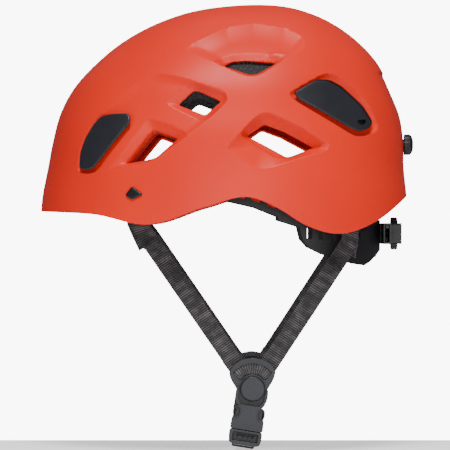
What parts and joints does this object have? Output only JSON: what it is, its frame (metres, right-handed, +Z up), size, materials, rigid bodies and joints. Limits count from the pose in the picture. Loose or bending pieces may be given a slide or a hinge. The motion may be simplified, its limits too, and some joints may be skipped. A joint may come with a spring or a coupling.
{
  "type": "climbing helmet",
  "caption": "Vented climbing helmet with a hard shell over a crown foam liner, headlamp-strap clips, a wheel-adjusted nape cradle and a chin strap with a side-release buckle.",
  "frame": {"origin": "middle of the head opening, level with the brim", "axes": "+Z up, -X to the brim at the front, -Y to the wearer's left"},
  "size_m": [0.2839, 0.2154, 0.3383],
  "materials": {
    "shell": "satin red-orange moulded ABS",
    "foam": "moulded black polystyrene bead foam",
    "hard_black": "moulded black nylon",
    "band_black": "flexible black polyethylene",
    "pad": "brushed fabric over thin foam",
    "spring_steel": "spring steel",
    "wheel_black": "soft-touch moulding over a hard core",
    "acetal": "moulded acetal",
    "webbing": "woven polyester webbing",
    "buckle_grey": "moulded dark grey acetal",
    "keeper_rubber": "moulded rubber",
    "clip_grey": "moulded dark grey nylon"
  },
  "bodies": {
    "shell_body": {"shell": "shell", "foam_liner": "foam", "rear_stud": "hard_black", "headband": "band_black", "brow_pad": "pad", "crown_pad_left": "pad", "crown_pad_right": "pad", "anchor_plug_left": "hard_black", "anchor_plug_right": "hard_black", "front_hanger_left": "hard_black", "front_hanger_right": "hard_black", "rear_hanger_left": "hard_black", "rear_hanger_right": "hard_black", "headband_post_left": "hard_black", "headband_post_right": "hard_black"},
    "nape_body": {"nape_cradle": "band_black", "nape_pad": "pad", "fit_housing_inner": "hard_black", "fit_housing_outer": "hard_black", "fit_detent_leaf": "spring_steel", "side_band_left": "band_black", "side_band_right": "band_black"},
    "wheel_body": {"fit_wheel": "wheel_black", "fit_pinion": "acetal", "fit_axle": "spring_steel"},
    "rack_left_body": {"fit_rack_left": "acetal"},
    "rack_right_body": {"fit_rack_right": "acetal"},
    "strap_left_body": {"front_webbing_left": "webbing", "rear_webbing_left": "webbing"},
    "strap_right_body": {"front_webbing_right": "webbing", "rear_webbing_right": "webbing"},
    "divider_left_body": {"strap_divider_left": "buckle_grey", "pivot_button_left": "buckle_grey"},
    "divider_right_body": {"strap_divider_right": "buckle_grey", "pivot_button_right": "buckle_grey"},
    "buckle_body": {"buckle_female": "buckle_grey"},
    "male_body": {"buckle_male": "buckle_grey", "chin_webbing": "webbing", "web_keeper": "keeper_rubber"},
    "prong_front_body": {"buckle_prong_front": "buckle_grey"},
    "prong_rear_body": {"buckle_prong_rear": "buckle_grey"},
    "chin_hanger_body": {"chin_hanger": "buckle_grey"},
    "clip_front_left_body": {"front_clip_left": "clip_grey"},
    "clip_front_right_body": {"front_clip_right": "clip_grey"},
    "clip_rear_left_body": {"rear_clip_left": "clip_grey"},
    "clip_rear_right_body": {"rear_clip_right": "clip_grey"}
  },
  "joints": [
    {"name": "nape_slide", "type": "slide", "parent": "shell_body", "child": "nape_body", "axis": [1, 0, 0], "range_m": [-0.0085, 0.0085]},
    {"name": "fit_wheel_turn", "type": "hinge", "parent": "nape_body", "child": "wheel_body", "pos_m": [0.122, 0, -0.018], "axis": [1, 0, 0], "range_deg": [-150, 150]},
    {"name": "rack_left_slide", "type": "slide", "parent": "nape_body", "child": "rack_left_body", "axis": [0, -1, 0], "range_m": [-0.0085, 0.0085]},
    {"name": "rack_right_slide", "type": "slide", "parent": "nape_body", "child": "rack_right_body", "axis": [0, 1, 0], "range_m": [-0.0085, 0.0085]},
    {"name": "strap_sway", "type": "hinge", "parent": "shell_body", "child": "strap_left_body", "pos_m": [0.014, -0.073, 0.004], "axis": [1, 0, 0], "range_deg": [-15, 15], "deforming": ["front_webbing_left", "rear_webbing_left"]},
    {"name": "strap_sway_right", "type": "hinge", "parent": "shell_body", "child": "strap_right_body", "pos_m": [0.014, 0.073, 0.004], "axis": [1, 0, 0], "range_deg": [-15, 15], "deforming": ["front_webbing_right", "rear_webbing_right"]},
    {"name": "divider_level_left", "type": "hinge", "parent": "strap_left_body", "child": "divider_left_body", "pos_m": [0.021, -0.073, -0.1155], "axis": [1, 0, 0], "range_deg": [-15, 15]},
    {"name": "divider_level_right", "type": "hinge", "parent": "strap_right_body", "child": "divider_right_body", "pos_m": [0.021, 0.073, -0.1155], "axis": [1, 0, 0], "range_deg": [-15, 15]},
    {"name": "buckle_swing", "type": "hinge", "parent": "divider_left_body", "child": "buckle_body", "pos_m": [0.021, -0.0696, -0.1335], "axis": [0, 1, 0], "range_deg": [-15, 15]},
    {"name": "chin_swing_right", "type": "hinge", "parent": "divider_right_body", "child": "chin_hanger_body", "pos_m": [0.021, 0.0696, -0.1335], "axis": [0, 1, 0], "range_deg": [-15, 15]},
    {"name": "buckle_release", "type": "slide", "parent": "buckle_body", "child": "male_body", "axis": [-0.1564, 0, -0.9877], "range_m": [0, 0.026], "deforming": ["chin_webbing"]},
    {"name": "prong_front_press", "type": "hinge", "parent": "male_body", "child": "prong_front_body", "pos_m": [0.00808, -0.0696, -0.1598], "axis": [0, 1, 0], "range_deg": [0, 6], "stiffness_Nm_per_rad": 0.05},
    {"name": "prong_rear_press", "type": "hinge", "parent": "male_body", "child": "prong_rear_body", "pos_m": [0.02516, -0.0696, -0.16251], "axis": [0, -1, 0], "range_deg": [0, 6], "stiffness_Nm_per_rad": 0.05},
    {"name": "clip_front_left_lift", "type": "hinge", "parent": "shell_body", "child": "clip_front_left_body", "pos_m": [-0.082, -0.07983, 0.066], "axis": [-0.8725, 0.4866, -0.0436], "range_deg": [0, 3.5], "stiffness_Nm_per_rad": 0.5},
    {"name": "clip_front_right_lift", "type": "hinge", "parent": "shell_body", "child": "clip_front_right_body", "pos_m": [-0.082, 0.07983, 0.066], "axis": [0.8725, 0.4866, 0.0436], "range_deg": [0, 3.5], "stiffness_Nm_per_rad": 0.5},
    {"name": "clip_rear_left_lift", "type": "hinge", "parent": "shell_body", "child": "clip_rear_left_body", "pos_m": [0.0565, -0.08747, 0.0845], "axis": [-0.4836, -0.3855, -0.7858], "range_deg": [0, 3], "stiffness_Nm_per_rad": 0.5},
    {"name": "clip_rear_right_lift", "type": "hinge", "parent": "shell_body", "child": "clip_rear_right_body", "pos_m": [0.0565, 0.08747, 0.0845], "axis": [0.4836, -0.3855, 0.7858], "range_deg": [0, 3], "stiffness_Nm_per_rad": 0.5}
  ],
  "couplings": [
    {"joint": "nape_slide", "follows": "fit_wheel_turn", "m_per_rad": 0.0032},
    {"joint": "rack_left_slide", "follows": "fit_wheel_turn", "m_per_rad": 0.0032},
    {"joint": "rack_right_slide", "follows": "fit_wheel_turn", "m_per_rad": 0.0032},
    {"joint": "strap_sway_right", "follows": "strap_sway", "ratio": 1},
    {"joint": "divider_level_left", "follows": "strap_sway", "ratio": -1},
    {"joint": "divider_level_right", "follows": "strap_sway", "ratio": -1},
    {"joint": "chin_swing_right", "follows": "buckle_swing", "ratio": 1}
  ]
}
